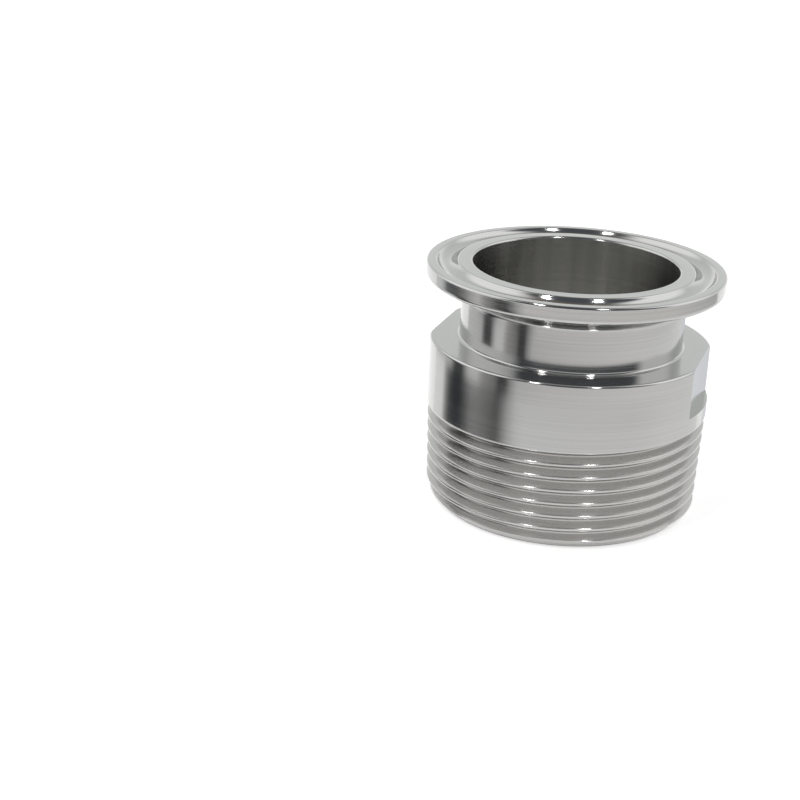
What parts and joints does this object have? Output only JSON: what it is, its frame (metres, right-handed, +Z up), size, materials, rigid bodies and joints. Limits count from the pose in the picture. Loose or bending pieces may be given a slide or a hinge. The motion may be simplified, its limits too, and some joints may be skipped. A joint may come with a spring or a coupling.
{
  "type": "threaded adapter",
  "caption": "Bored stainless adapter, turned as one piece: a clamp ferrule with a gasket groove on a neck, a body with wrench flats and a male taper pipe thread.",
  "frame": {"origin": "centre of the threaded end's face, on the bore axis, where the adapter stands", "axes": "+Z up the bore axis to the clamp face, +X and -X square to the two wrench flats"},
  "size_m": [0.0505, 0.0504, 0.0423],
  "materials": {
    "turned_steel": "bright turned stainless steel with fine lathe lines round the axis"
  },
  "bodies": {
    "root": {"threaded_adapter": "turned_steel"}
  },
  "joints": []
}
